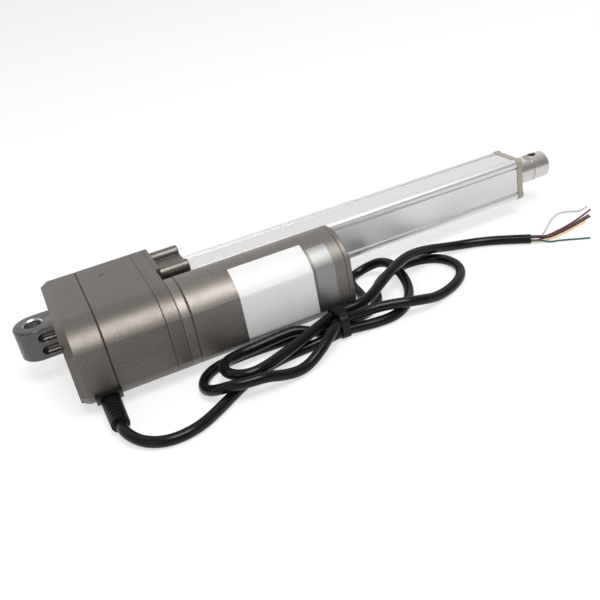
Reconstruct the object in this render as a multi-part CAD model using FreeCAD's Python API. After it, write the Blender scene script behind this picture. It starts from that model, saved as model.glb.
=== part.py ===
import FreeCAD, Part
import math
import os

# Electric linear actuator with a motor beside the tube, lying on its side, rod drawn in.
# Millimetres. The origin is the centre of the rear pin bore. X runs along the stroke towards the rod,
# Z along the pin bores and up, and the motor lies beside the tube towards -Y.

V = FreeCAD.Vector
AXIS_X = V(1, 0, 0)
AXIS_Z = V(0, 0, 1)

# Stroke and main axes
stroke = 200.0
centre_distance = 41.0
rear_pin_d = 10.0
rod_pin_d = 6.0

# Clearances between pieces
running_gap = 0.05
side_gap = 0.3
slide_in_gap = 0.15
window_gap = 0.4
screw_skin = 1.0

# Outline that gearbox, front plate and motor cover share
lobe_r = 25.2
flat_depth = 3.6
far_side = 22.5
far_corner_r = 10.0
shell_wall = 2.6

# Lengths along the stroke, from the rear face forward
rear_face_x = 15.0
rear_cover_len = 16.2
gasket_t = 0.6
housing_len = 32.6
plate_len = 8.2
ring_len = 5.6
motor_cover_len = 91.4
end_cap_len = 3.2
rear_wall = 3.0
front_wall = 4.0
rim_chamfer = 2.4
edge_chamfer = 0.6
seam_chamfer = 0.25
gasket_inset = 0.3
dimple_r = 1.5
dimple_depth = 0.3
dimple_place = (44.4, -2.2)

# Rear clevis
clevis_w = 23.0
clevis_h = 19.0
clevis_plate_t = 2.7
clevis_rib_t = 2.6
clevis_web_t = 7.0
clevis_boss_r = 8.2
clevis_fillet = 1.2
clevis_flange_side = 1.5
clevis_flange_edge = 0.15
clevis_flange_t = 4.0
bearing_boss_r = 12.0
clevis_screw_y = 8.0
clevis_screw_wall = 1.0
clevis_screw_gap = 0.2

# Ball bearings of the screw: bore radius, outer radius, width, and where the shields meet the inner ring
rear_bearing_bore_r = 3.5
rear_bearing_r = 9.5
rear_bearing_w = 6.0
rear_bearing_land_r = 5.6
front_bearing_bore_r = 5.0
front_bearing_r = 13.0
front_bearing_w = 8.0
front_bearing_land_r = 7.4
bearing_lip = 2.0
bearing_wall = 3.0
bearing_seat_lap = 1.0

# Gear train: motor pinion, compound idler, screw gear
pressure_angle = math.radians(20.0)
stage1_module = 0.8
stage2_module = 1.0
pinion_teeth = 12
wheel1_teeth = 40
wheel2_teeth = 30
profile_shift = 0.35
dedendum = 1.25
tooth_thinning = 0.06
stage1_face = 6.0
stage2_face = 9.0
stage1_gap = 2.2
stage2_gap = 2.5
pinion_overlap = 0.5
shaft_nose = 1.0
idler_pin_r = 2.5
idler_boss_r = 5.0
gear_hub_r = 8.0
clip_t = 1.0
clip_r = 6.5
thrust_gap = 0.3

# Lead screw, nut and rod
screw_r = 6.0
screw_tip_gap = 9.0
screw_tip_chamfer = 1.0
nut_r = 10.7
nut_rest_gap = 8.4
nut_end_gap = 2.0
nut_len = 21.0
nut_flat = 10.1
rod_r = 9.0
rod_bore_r = 6.5
rod_socket_depth = 9.0
rod_show = 2.0
rod_pin_reach = 16.0
rod_tip_margin = 9.0
rod_stub_len = 14.0
rod_tip_chamfer = 1.0
spanner_flat = 7.2
spanner_len = 12.4
rod_groove_w = 0.8
rod_groove_depth = 0.5
nut_magnet_r = 2.5
nut_magnet_t = 2.4

# Outer tube, its socket and its front cap
tube_face = 13.4
bead_centre = 10.9
bead_r = 3.2
groove_r = 0.65
tube_bore_r = 11.0
channel_r = 1.45
socket_flange_t = 2.6
socket_half_w = 15.4
socket_half_h = 18.5
socket_bead_y = 12.0
socket_bead_r = 4.0
socket_len = 20.4
seat_step = 1.0
front_cap_t = 4.0
front_cap_proud = 0.3
bush_len = 18.0
wiper_t = 2.6
wiper_r = 11.4

# Limit sensor strip in the tube
board_w = 10.0
board_t = 0.8
slot_depth = 12.3
sensor_len = 5.0
sensor_w = 3.0
sensor_h = 0.9

# Motor, filling its cover: walls and gaps from the cover inwards, then along the shaft
cover_wall = 1.8
cover_flat_wall = 1.3
tie_bolt_r = 1.45
tie_bolt_gap = 0.25
can_gap = 0.25
can_wall = 1.6
magnet_t = 3.9
magnet_half_angle = 70.0
magnet_air_gap = 0.7
core_slots = 8
slot_w = 3.0
winding_depth = 5.2
winding_inset = 1.2
bell_len = 7.0
bell_spigot = 3.0
pilot_r = 10.0
pilot_len = 7.0
pilot_wall = 2.0
shaft_r = 2.5
bush_r = 6.5
bush_w = 4.0
winding_gap = 6.4
winding_len = 6.0
commutator_gap = 2.0
commutator_r = 6.5
commutator_len = 9.0
commutator_room = 1.5
brush_setback = 2.0
brush_wall = 1.5
brush_w = 5.0
brush_margin = 3.4
hall_board_margin = 2.4
hall_board_t = 1.2
hall_magnet_r = 6.0
hall_magnet_len = 4.0
hall_magnet_gap = 1.5
hall_end_gap = 3.1
end_spigot_len = 3.0

# Screws: thread radius, head radius, head height; hexagon socket as shares of the head's width and height
gearbox_screw = (2.0, 3.5, 2.8)
gearbox_boss_r = 3.8
far_screw_edge = 5.9
near_screw_edge = 5.4
near_screw_angle = 133.0
screw_into_plate = 6.0
small_screw = (1.45, 2.5, 1.6)
small_screw_len = 8.0
socket_across = 0.45
socket_depth = 0.6

# Cable, grommet, tie and the stripped cores
cable_r = 3.0
cord_lift = 0.1
cable_lead = 5.0
grommet_x = 25.2
grommet_z = -19.2
grommet_end_y = -86.0
grommet_r = 5.8
grommet_tip_r = 4.9
grommet_ribs = 6
grommet_rib_pitch = 3.2
grommet_rib_gap = 1.0
grommet_rib_depth = 0.5
grommet_saddle_w = 14.4
grommet_saddle_top = 12.5
grommet_saddle_t = 2.4
grommet_neck_r = 4.0
tie_x = 156.0
tie_lift = 1.7
strand_pitch = 6.3
tie_w = 4.8
tie_t = 1.0
tie_slack = 0.3
tie_head = 5.0
tie_head_h = 2.8
core_wire_r = 0.6
core_circle_r = 1.75
core_lead = 4.0
bend_share = 0.45

# Stations that follow from the lengths
seam1_x = rear_face_x + rear_cover_len
housing_x = seam1_x + gasket_t
plate_x = housing_x + housing_len
ring_x0 = plate_x + plate_len
motor_x = ring_x0 + ring_len
cap_x = motor_x + motor_cover_len
end_x = cap_x + end_cap_len
rear_inner_x = rear_face_x + rear_wall
wall_x = plate_x - front_wall
motor_y = -centre_distance
rear_bearing_x = rear_inner_x + clevis_flange_t - bearing_seat_lap
clevis_front_x = rear_bearing_x + rear_bearing_w + thrust_gap
stage1_x = clevis_front_x + stage1_gap
stage2_x = stage1_x + stage1_face + stage2_gap
idler_end_x = stage2_x + stage2_face
front_bearing_x = plate_x - front_bearing_w
flat_offset = lobe_r - flat_depth
floor_z = -lobe_r

# Height of the clevis screws, clear of the window and of the bearing's boss
beside_window = clevis_h / 2 + window_gap + small_screw[0] + clevis_screw_wall
beside_boss = math.sqrt((bearing_boss_r + small_screw[1] + clevis_screw_gap) ** 2 - clevis_screw_y ** 2)
clevis_screw_z = max(beside_window, beside_boss)

# Stations of the motor, from its front bell and from its end cap
can_x = ring_x0 + bell_len
core_x = can_x + bell_spigot + winding_gap + winding_len
hall_magnet_x = cap_x - end_spigot_len - hall_end_gap - hall_magnet_len
hall_x = hall_magnet_x - thrust_gap - hall_board_t
rear_bush_x = hall_x - bush_w
commutator_x = rear_bush_x - thrust_gap - commutator_len
core_end_x = commutator_x - commutator_gap - winding_len
brush_plate_x = commutator_x + brush_setback

# Radii of the motor, from its cover inwards
tie_bolt_offset = lobe_r - cover_wall - tie_bolt_gap - tie_bolt_r
can_r = min(flat_offset - cover_flat_wall, tie_bolt_offset - tie_bolt_r) - can_gap
can_inner_r = can_r - can_wall
core_r = can_inner_r - magnet_t - magnet_air_gap
winding_r = core_r - winding_inset

# Stations of the tube, nut and rod, which follow the stroke
tube_rear_x = ring_x0 + seat_step
nut_x = tube_rear_x + nut_rest_gap
nut_end_x = nut_x + nut_len
guide_x = nut_end_x + stroke + nut_end_gap
tube_front_x = guide_x + bush_len
rod_end_x = tube_front_x + front_cap_t + rod_show
pin_distance = rod_end_x + rod_pin_reach
screw_end_x = rod_end_x - rod_stub_len - screw_tip_gap


def box(x0, x1, y0, y1, z0, z1):
    return Part.makeBox(x1 - x0, y1 - y0, z1 - z0, V(x0, y0, z0))


def bar(x0, x1, r, y=0.0, z=0.0):
    """Round bar along X."""
    return Part.makeCylinder(r, x1 - x0, V(x0, y, z), AXIS_X)


def ring(x0, x1, outer, inner, y=0.0, z=0.0):
    return bar(x0, x1, outer, y, z).cut(bar(x0, x1, inner, y, z))


def joined(first, *others):
    return first.fuse(list(others)).removeSplitter()


def without(solid, *tools):
    return solid.cut(list(tools)).removeSplitter()


def line(a, b):
    return Part.LineSegment(a, b).toShape()


def arc(a, middle, b):
    return Part.Arc(a, middle, b).toShape()


def prism(face, x0, x1):
    """Sweep a face drawn at X = 0 from x0 to x1."""
    moved = face.copy()
    moved.translate(V(x0, 0, 0))
    return moved.extrude(V(x1 - x0, 0, 0))


def save(name, *solids):
    shape = solids[0] if len(solids) == 1 else Part.makeCompound(list(solids))
    for solid in shape.Solids:
        if not solid.isValid():
            print("not valid:", name)
    shape.exportStep("parts/" + name + ".step")


def on_lobe(angle, r):
    """Point on a circle about the motor axis, angle from +Y towards +Z in degrees."""
    a = math.radians(angle)
    return V(0, motor_y + r * math.cos(a), r * math.sin(a))


def lobe_corner(inset):
    """Angle above the axis plane at which the lobe meets its flat."""
    return math.degrees(math.acos((flat_offset - inset) / (lobe_r - inset)))


def motor_face(inset, flat_inset=None):
    """Round with two flats, the motor cover's section."""
    flat_inset = inset if flat_inset is None else flat_inset
    r = lobe_r - inset
    a = math.degrees(math.acos((flat_offset - flat_inset) / r))
    edges = [
        line(on_lobe(180 + a, r), on_lobe(180 - a, r)),
        arc(on_lobe(180 - a, r), on_lobe(90, r), on_lobe(a, r)),
        line(on_lobe(a, r), on_lobe(-a, r)),
        arc(on_lobe(-a, r), on_lobe(-90, r), on_lobe(180 + a, r)),
    ]
    return Part.Face(Part.Wire(edges))


def gearbox_face(inset):
    """Lobe round the motor axis with its flat, flat top and bottom, round corners on the tube's side."""
    r = lobe_r - inset
    a = lobe_corner(inset)
    middle = 90 + (90 - a) / 2
    far = far_side - inset
    corner = far_corner_r - inset
    half = r - corner
    bend = corner * math.sqrt(0.5)
    edges = [
        line(on_lobe(180 + a, r), on_lobe(180 - a, r)),
        arc(on_lobe(180 - a, r), on_lobe(middle, r), on_lobe(90, r)),
        line(on_lobe(90, r), V(0, far - corner, r)),
        arc(V(0, far - corner, r), V(0, far - corner + bend, half + bend), V(0, far, half)),
        line(V(0, far, half), V(0, far, -half)),
        arc(V(0, far, -half), V(0, far - corner + bend, -half - bend), V(0, far - corner, -r)),
        line(V(0, far - corner, -r), on_lobe(-90, r)),
        arc(on_lobe(-90, r), on_lobe(-middle, r), on_lobe(180 + a, r)),
    ]
    return Part.Face(Part.Wire(edges))


def four_corners(half_y, half_z):
    return [(sy * half_y, sz * half_z) for sy in (1, -1) for sz in (1, -1)]


def gearbox_screw_places():
    """Two screws in the corners on the tube's side, two inside the lobe's round."""
    reach = (far_corner_r - far_screw_edge) * math.sqrt(0.5)
    far = V(0, far_side - far_corner_r + reach, lobe_r - far_corner_r + reach)
    near = on_lobe(near_screw_angle, lobe_r - near_screw_edge)
    return [(p.y, s * p.z) for p in (far, near) for s in (1, -1)]


def idler_place():
    """Idler axis, where both centre distances meet, above the axis plane."""
    to_motor = stage1_module * (pinion_teeth + wheel1_teeth) / 2
    to_screw = stage2_module * (pinion_teeth + wheel2_teeth) / 2
    along = (to_screw ** 2 - to_motor ** 2 + centre_distance ** 2) / (2 * centre_distance)
    return -along, math.sqrt(to_screw ** 2 - along ** 2)


idler_y, idler_z = idler_place()


def chamfered(solid, size, x):
    """Chamfer the outline edges that lie wholly in the plane at x."""
    outline = max((f for f in solid.Faces if abs(f.BoundBox.XMin - x) < 1e-6 and f.BoundBox.XLength < 1e-6),
                  key=lambda f: f.BoundBox.DiagonalLength)
    return solid.makeChamfer(size, outline.OuterWire.Edges)


def beaded(x0, x1, face, centre, r):
    """Square bar with a round bead on each corner."""
    wide = box(x0, x1, -face, face, -centre, centre)
    tall = box(x0, x1, -centre, centre, -face, face)
    beads = [bar(x0, x1, r, y, z) for y, z in four_corners(centre, centre)]
    return joined(wide, tall, *beads)


def gear(teeth, module, shift, x0, x1, place, tooth_angle, flank_points):
    """Spur gear with involute flanks; one tooth points along tooth_angle."""
    pitch_r = module * teeth / 2
    base_r = pitch_r * math.cos(pressure_angle)
    tip_r = pitch_r + module * (1 + shift)
    root_r = pitch_r - module * (dedendum - shift)
    start_r = max(base_r, root_r)
    involute = math.tan(pressure_angle) - pressure_angle
    half_tooth = (math.pi / 2 + 2 * shift * math.tan(pressure_angle)) / teeth - tooth_thinning / pitch_r

    def half_angle(r):
        a = math.acos(min(1.0, base_r / r))
        return half_tooth + involute - (math.tan(a) - a)

    radii = [start_r + (tip_r - start_r) * i / (flank_points - 1) for i in range(flank_points)]
    flank = [(r, half_angle(r)) for r in radii]
    if root_r < base_r:
        flank.insert(0, (root_r, half_angle(start_r)))
    points = []
    for i in range(teeth):
        centre = tooth_angle + 2 * math.pi * i / teeth
        polar = [(r, centre - a) for r, a in flank] + [(r, centre + a) for r, a in reversed(flank)]
        points += [V(0, place[0] + r * math.cos(a), place[1] + r * math.sin(a)) for r, a in polar]
    return prism(Part.Face(Part.makePolygon(points + points[:1])), x0, x1)


def facing(a, b):
    """Angle of the line from axis a to axis b."""
    return math.atan2(b[1] - a[1], b[0] - a[0])


def hexagon(x, y, z, across):
    """Hexagon in the plane at x, with its size across the flats."""
    r = across / math.sqrt(3)
    corners = [V(x, y + r * math.cos(math.radians(a)), z + r * math.sin(math.radians(a)))
               for a in range(0, 360, 60)]
    return Part.Face(Part.makePolygon(corners + corners[:1]))


def screw(size, x_head, length, y, z, forward=1):
    """Plain-shank socket screw along X; forward -1 points it to the rear."""
    thread, head, height = size
    direction = V(forward, 0, 0)
    top_x = x_head - forward * height
    shank = Part.makeCylinder(thread, length, V(x_head, y, z), direction)
    cap = Part.makeCylinder(head, height, V(top_x, y, z), direction)
    socket = hexagon(top_x, y, z, 2 * head * socket_across).extrude(direction * (height * socket_depth))
    return without(joined(shank, cap), socket)


def make_rear_clevis():
    half_w = clevis_w / 2
    half_h = clevis_h / 2
    flange_x1 = rear_inner_x + clevis_flange_t
    nose = Part.makeCylinder(half_w, clevis_h, V(0, 0, -half_h), AXIS_Z)
    lug = joined(nose, box(0, rear_inner_x, -half_w, half_w, -half_h, half_h))
    rims = [edge for edge in lug.Edges
            if abs(abs(edge.CenterOfMass.z) - half_h) < 1e-6 and edge.BoundBox.XMin < rear_face_x]
    lug = lug.makeFillet(clevis_fillet, rims)
    top = half_h - clevis_plate_t
    boss = Part.makeCylinder(clevis_boss_r, clevis_h, V(0, 0, -half_h), AXIS_Z)
    for z0, z1 in ((clevis_rib_t / 2, top), (-top, -clevis_rib_t / 2)):
        for side in (1, -1):
            y0, y1 = sorted((side * clevis_web_t / 2, side * half_w))
            lug = lug.cut(box(0, rear_inner_x, y0, y1, z0, z1).cut(boss))
    flange_y = half_w + clevis_flange_side
    flange_z = clevis_screw_z + small_screw[1] + clevis_flange_edge
    flange = box(rear_inner_x, flange_x1, -flange_y, flange_y, -flange_z, flange_z)
    seat = bar(flange_x1, clevis_front_x, bearing_boss_r)
    body = joined(lug, flange, seat)
    pocket = bar(rear_bearing_x, clevis_front_x, rear_bearing_r)
    bore = Part.makeCylinder(rear_pin_d / 2, clevis_h, V(0, 0, -half_h), AXIS_Z)
    thread, _, _ = small_screw
    places = four_corners(clevis_screw_y, clevis_screw_z)
    holes = [bar(rear_inner_x, flange_x1, thread, y, z) for y, z in places]
    save("rear_clevis", without(body, pocket, bore, *holes))
    depth = flange_x1 - rear_face_x - screw_skin
    save("clevis_screws", *[screw(small_screw, flange_x1, depth, y, z, -1) for y, z in places])


def grommet_hole(r):
    return Part.makeCylinder(r, -grommet_end_y, V(grommet_x, 0, grommet_z), V(0, -1, 0)).common(
        box(0, stage2_x, grommet_end_y, motor_y, floor_z, 0))


def make_rear_cover():
    body = chamfered(prism(gearbox_face(0), rear_face_x, seam1_x), rim_chamfer, rear_face_x)
    body = chamfered(body, seam_chamfer, seam1_x)
    cavity = prism(gearbox_face(shell_wall), rear_inner_x, seam1_x)
    thread, head, height = gearbox_screw
    places = gearbox_screw_places()
    bosses = [bar(rear_inner_x, seam1_x, gearbox_boss_r, y, z).common(body) for y, z in places]
    pin_boss = bar(rear_inner_x, stage1_x - thrust_gap, idler_boss_r, idler_y, idler_z)
    shell = joined(body.cut(cavity), pin_boss, *bosses)
    half_w = clevis_w / 2 + window_gap
    half_h = clevis_h / 2 + window_gap
    cuts = [box(rear_face_x, rear_inner_x, -half_w, half_w, -half_h, half_h)]
    cuts += [bar(rear_face_x, seam1_x, thread, y, z) for y, z in places]
    cuts += [bar(rear_face_x, rear_face_x + height, head + side_gap, y, z) for y, z in places]
    cuts += [bar(rear_face_x + screw_skin, rear_inner_x, small_screw[0], y, z)
             for y, z in four_corners(clevis_screw_y, clevis_screw_z)]
    cuts += [bar(rear_inner_x, stage1_x, idler_pin_r, idler_y, idler_z), grommet_hole(grommet_neck_r)]
    save("rear_cover", without(shell, *cuts))


def make_gasket():
    outline = gearbox_face(gasket_inset)
    frame = prism(outline.cut(gearbox_face(shell_wall)), seam1_x, housing_x)
    pads = [bar(seam1_x, housing_x, gearbox_boss_r, y, z).common(prism(outline, seam1_x, housing_x))
            for y, z in gearbox_screw_places()]
    holes = [bar(seam1_x, housing_x, gearbox_screw[0], y, z) for y, z in gearbox_screw_places()]
    save("gearbox_gasket", without(joined(frame, *pads), *holes))


def make_gearbox_housing():
    body = prism(gearbox_face(0), housing_x, plate_x)
    body = chamfered(chamfered(body, seam_chamfer, housing_x), seam_chamfer, plate_x)
    cavity = prism(gearbox_face(shell_wall), housing_x, wall_x)
    bosses = [bar(housing_x, wall_x, gearbox_boss_r, y, z).common(body) for y, z in gearbox_screw_places()]
    seat = bar(front_bearing_x - bearing_lip, wall_x, front_bearing_r + bearing_wall)
    pin_boss = bar(idler_end_x + thrust_gap, wall_x, idler_boss_r, idler_y, idler_z)
    shell = joined(body.cut(cavity), seat, pin_boss, *bosses)
    cuts = [bar(housing_x, plate_x, gearbox_screw[0], y, z) for y, z in gearbox_screw_places()]
    cuts += [
        bar(front_bearing_x, plate_x, front_bearing_r),
        bar(front_bearing_x - bearing_lip, front_bearing_x, gear_hub_r + bearing_lip),
        bar(idler_end_x, wall_x, idler_pin_r, idler_y, idler_z),
        bar(wall_x, plate_x, bush_r, motor_y),
        Part.makeCylinder(dimple_r, dimple_depth, V(*dimple_place, lobe_r - dimple_depth), AXIS_Z),
    ]
    save("gearbox_housing", without(shell, *cuts))
    head_x = rear_face_x + gearbox_screw[2]
    depth = plate_x + screw_into_plate - head_x
    save("gearbox_screws", *[screw(gearbox_screw, head_x, depth, y, z) for y, z in gearbox_screw_places()])
    save("idler_pin", bar(rear_inner_x, wall_x, idler_pin_r, idler_y, idler_z))


def make_front_plate():
    plate = prism(gearbox_face(0), plate_x, ring_x0)
    plate = chamfered(chamfered(plate, seam_chamfer, plate_x), seam_chamfer, ring_x0)
    thread, head, height = small_screw
    tube_screw_places = four_corners(bead_centre, bead_centre)
    cuts = [bar(plate_x, ring_x0, front_bearing_land_r), bar(plate_x, ring_x0, pilot_r, motor_y)]
    cuts += [bar(plate_x, plate_x + screw_into_plate, gearbox_screw[0], y, z)
             for y, z in gearbox_screw_places()]
    cuts += [bar(plate_x, ring_x0, thread, y, z) for y, z in tube_screw_places]
    cuts += [bar(plate_x, plate_x + height, head, y, z) for y, z in tube_screw_places]
    cuts += [bar(ring_x0 - screw_into_plate, ring_x0, tie_bolt_r, motor_y, s * tie_bolt_offset)
             for s in (1, -1)]
    save("front_plate", without(plate, *cuts))
    depth = tube_rear_x + small_screw_len - plate_x - height
    save("tube_screws", *[screw(small_screw, plate_x + height, depth, y, z) for y, z in tube_screw_places])


def make_tube_socket():
    """Flanged collar with a round bead on each corner, which holds the tube's rear end."""
    flange_x1 = ring_x0 + socket_flange_t
    collar_x1 = ring_x0 + socket_len
    near_side = motor_y + flat_offset + side_gap
    flange = prism(gearbox_face(0), ring_x0, flange_x1).common(
        box(ring_x0, flange_x1, near_side, far_side, floor_z, -floor_z))
    collar = box(ring_x0, collar_x1, -socket_half_w, socket_half_w, -socket_half_h, socket_half_h)
    beads = [bar(ring_x0, collar_x1, socket_bead_r, y, z)
             for y, z in four_corners(socket_bead_y, socket_half_h)]
    body = chamfered(joined(flange, collar, *beads), edge_chamfer, collar_x1)
    seat = beaded(tube_rear_x, collar_x1, tube_face + slide_in_gap, bead_centre, bead_r + slide_in_gap)
    holes = [bar(ring_x0, tube_rear_x, small_screw[0], y, z)
             for y, z in four_corners(bead_centre, bead_centre)]
    save("tube_socket", without(body, seat, bar(ring_x0, tube_rear_x, front_bearing_land_r), *holes))


def make_motor_shell():
    tie_places = [s * tie_bolt_offset for s in (1, -1)]
    seat = bar(ring_x0, motor_x, can_r, motor_y)
    ridge = chamfered(prism(motor_face(0), ring_x0, motor_x), edge_chamfer, motor_x)
    ridge = chamfered(ridge, seam_chamfer, ring_x0)
    holes = [bar(ring_x0, motor_x, tie_bolt_r, motor_y, z) for z in tie_places]
    save("motor_ring", without(ridge, seat, *holes))
    cavity = prism(motor_face(cover_wall, cover_flat_wall), motor_x, cap_x)
    cover = chamfered(prism(motor_face(0), motor_x, cap_x), edge_chamfer, motor_x)
    cover = chamfered(cover, seam_chamfer, cap_x)
    save("motor_cover", cover.cut(cavity))
    lid = chamfered(prism(motor_face(0), cap_x, end_x), edge_chamfer, end_x)
    lid = chamfered(lid, seam_chamfer, cap_x)
    spigot = prism(motor_face(cover_wall, cover_flat_wall), cap_x - end_spigot_len, cap_x)
    hollow = bar(cap_x - end_spigot_len, cap_x, can_inner_r, motor_y)
    head = small_screw[1]
    bolt_holes = [bar(cap_x - end_spigot_len, end_x, tie_bolt_r, motor_y, z) for z in tie_places]
    sinks = [bar(end_x - small_screw[2], end_x, head, motor_y, z) for z in tie_places]
    save("motor_end_cap", without(joined(lid, spigot), hollow, *bolt_holes, *sinks))
    bolt = (tie_bolt_r, head, small_screw[2])
    bolt_head_x = end_x - small_screw[2]
    bolt_len = bolt_head_x - ring_x0 + screw_into_plate
    save("motor_tie_bolts", *[screw(bolt, bolt_head_x, bolt_len, motor_y, z, -1) for z in tie_places])


def make_motor_stator():
    save("motor_can", ring(can_x, hall_x, can_r, can_inner_r, motor_y))
    pilot_x = ring_x0 - pilot_len
    bush_x = pilot_x + pilot_wall
    bell = joined(bar(ring_x0, can_x, can_r, motor_y),
                  bar(can_x, can_x + bell_spigot, can_inner_r, motor_y),
                  bar(pilot_x, ring_x0, pilot_r, motor_y))
    save("motor_front_bell", without(bell,
                                     bar(pilot_x, can_x + bell_spigot, shaft_r + side_gap, motor_y),
                                     bar(bush_x, bush_x + bush_w, bush_r, motor_y)))
    bushes = [ring(x, x + bush_w, bush_r, shaft_r + running_gap, motor_y) for x in (bush_x, rear_bush_x)]
    save("motor_bearings", *bushes)
    sector = ring(core_x, core_end_x, can_inner_r, can_inner_r - magnet_t, motor_y)
    keep = can_r * math.tan(math.radians(90 - magnet_half_angle))
    span = (core_x, core_end_x, motor_y - can_r, motor_y + can_r)
    save("motor_magnets", *[sector.cut(box(*span, *sorted((-s * can_r, s * keep)))) for s in (1, -1)])
    plate = bar(brush_plate_x, hall_x, can_inner_r, motor_y)
    well = bar(brush_plate_x, rear_bush_x, commutator_r + commutator_room, motor_y)
    brush_x = brush_plate_x + brush_wall
    brush_end = can_inner_r - brush_margin
    track = bar(brush_x, brush_x + brush_w, commutator_r + running_gap, motor_y)
    half_w = brush_w / 2
    span = (brush_x, brush_x + brush_w, motor_y - half_w, motor_y + half_w)
    guides = [box(*span, *sorted((s * shaft_r, s * brush_end))) for s in (1, -1)]
    save("brush_plate", without(plate, well, bar(rear_bush_x, hall_x, bush_r, motor_y), *guides))
    save("brushes", *[guide.cut(track) for guide in guides])
    board_r = can_inner_r - hall_board_margin
    save("hall_board", ring(hall_x, hall_x + hall_board_t, board_r, hall_magnet_r + hall_magnet_gap, motor_y))


def make_armature():
    shaft_x0 = stage1_x - shaft_nose
    magnet_end_x = hall_magnet_x + hall_magnet_len
    save("armature_shaft", bar(shaft_x0, magnet_end_x, shaft_r, motor_y))
    core = ring(core_x, core_end_x, core_r, shaft_r, motor_y)
    half_w = slot_w / 2
    slots = []
    coils = []
    for i in range(core_slots):
        turn = 360.0 * i / core_slots
        for shapes, top in ((slots, core_r), (coils, winding_r)):
            shape = box(core_x, core_end_x, motor_y - half_w, motor_y + half_w, core_r - winding_depth, top)
            shape.rotate(V(0, motor_y, 0), AXIS_X, turn)
            shapes.append(shape)
    save("armature_core", without(core, *slots))
    ends = [ring(x, x + winding_len, winding_r, shaft_r, motor_y) for x in (core_x - winding_len, core_end_x)]
    save("armature_windings", joined(ends[0], ends[1], *coils))
    save("commutator", ring(commutator_x, commutator_x + commutator_len, commutator_r, shaft_r, motor_y))
    place = (motor_y, 0)
    x0 = stage1_x - pinion_overlap
    x1 = stage1_x + stage1_face + pinion_overlap
    teeth = gear(pinion_teeth, stage1_module, profile_shift, x0, x1, place,
                 facing(place, (idler_y, idler_z)), 4)
    save("motor_pinion", teeth.cut(bar(x0, x1, shaft_r, motor_y)))
    save("hall_magnet", ring(hall_magnet_x, magnet_end_x, hall_magnet_r, shaft_r, motor_y))


def make_idler():
    place = (idler_y, idler_z)
    to_motor = facing(place, (motor_y, 0))
    to_screw = facing(place, (0, 0))
    wheel = gear(wheel1_teeth, stage1_module, -profile_shift, stage1_x, stage1_x + stage1_face, place,
                 to_motor + math.pi / wheel1_teeth, 3)
    pinion = gear(pinion_teeth, stage2_module, profile_shift, stage1_x + stage1_face, idler_end_x, place,
                  to_screw, 4)
    bore = bar(stage1_x, idler_end_x, idler_pin_r + running_gap, *place)
    save("idler_gear", wheel.fuse(pinion).cut(bore))


def make_screw():
    journal = bar(rear_bearing_x + thrust_gap, stage2_x, rear_bearing_bore_r)
    seat = bar(stage2_x, plate_x, front_bearing_bore_r)
    thread = bar(plate_x, screw_end_x, screw_r)
    save("lead_screw", chamfered(joined(journal, seat, thread), screw_tip_chamfer, screw_end_x))
    wheel = gear(wheel2_teeth, stage2_module, -profile_shift, stage2_x, idler_end_x, (0, 0),
                 facing((0, 0), (idler_y, idler_z)) + math.pi / wheel2_teeth, 3)
    hub = bar(idler_end_x, front_bearing_x, gear_hub_r)
    save("screw_gear", wheel.fuse(hub).cut(bar(stage2_x, front_bearing_x, front_bearing_bore_r)))
    save("gear_clip", ring(stage2_x - clip_t, stage2_x, clip_r, rear_bearing_bore_r))
    outer, inner = [], []
    for x, w, bore, land, r in (
            (rear_bearing_x, rear_bearing_w, rear_bearing_bore_r, rear_bearing_land_r, rear_bearing_r),
            (front_bearing_x, front_bearing_w, front_bearing_bore_r, front_bearing_land_r, front_bearing_r)):
        outer.append(ring(x, x + w, r, land + side_gap))
        inner.append(ring(x, x + w, land, bore))
    save("bearing_outer_races", *outer)
    save("bearing_inner_races", *inner)


def make_rod():
    rod_x0 = nut_end_x - rod_socket_depth
    tip_x = pin_distance + rod_tip_margin
    nut = bar(nut_x, nut_end_x, nut_r).cut(box(nut_x, nut_end_x, -nut_r, nut_r, -nut_r, -nut_flat))
    magnet_x = nut_x + (nut_len - rod_socket_depth) / 2
    magnet = Part.makeCylinder(nut_magnet_r, nut_magnet_t, V(magnet_x, 0, -nut_flat), AXIS_Z)
    save("drive_nut", without(nut, bar(nut_x, nut_end_x, screw_r + running_gap),
                              bar(rod_x0, nut_end_x, rod_r), magnet))
    save("nut_magnet", magnet)
    save("piston_rod", ring(rod_x0, rod_end_x, rod_r, rod_bore_r))
    head = chamfered(bar(rod_end_x, tip_x, rod_r), rod_tip_chamfer, tip_x)
    stub = bar(rod_end_x - rod_stub_len, rod_end_x, rod_bore_r)
    bore = Part.makeCylinder(rod_pin_d / 2, 2 * rod_r, V(pin_distance, 0, -rod_r), AXIS_Z)
    neck_x1 = rod_end_x + spanner_len
    flats = [box(rod_end_x, neck_x1, -rod_r, rod_r, *sorted((s * spanner_flat, s * rod_r))) for s in (1, -1)]
    groove = ring(neck_x1 - rod_groove_w, neck_x1, rod_r, rod_r - rod_groove_depth)
    save("rod_end", without(joined(head, stub), bore, groove, *flats))
    return magnet_x


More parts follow.
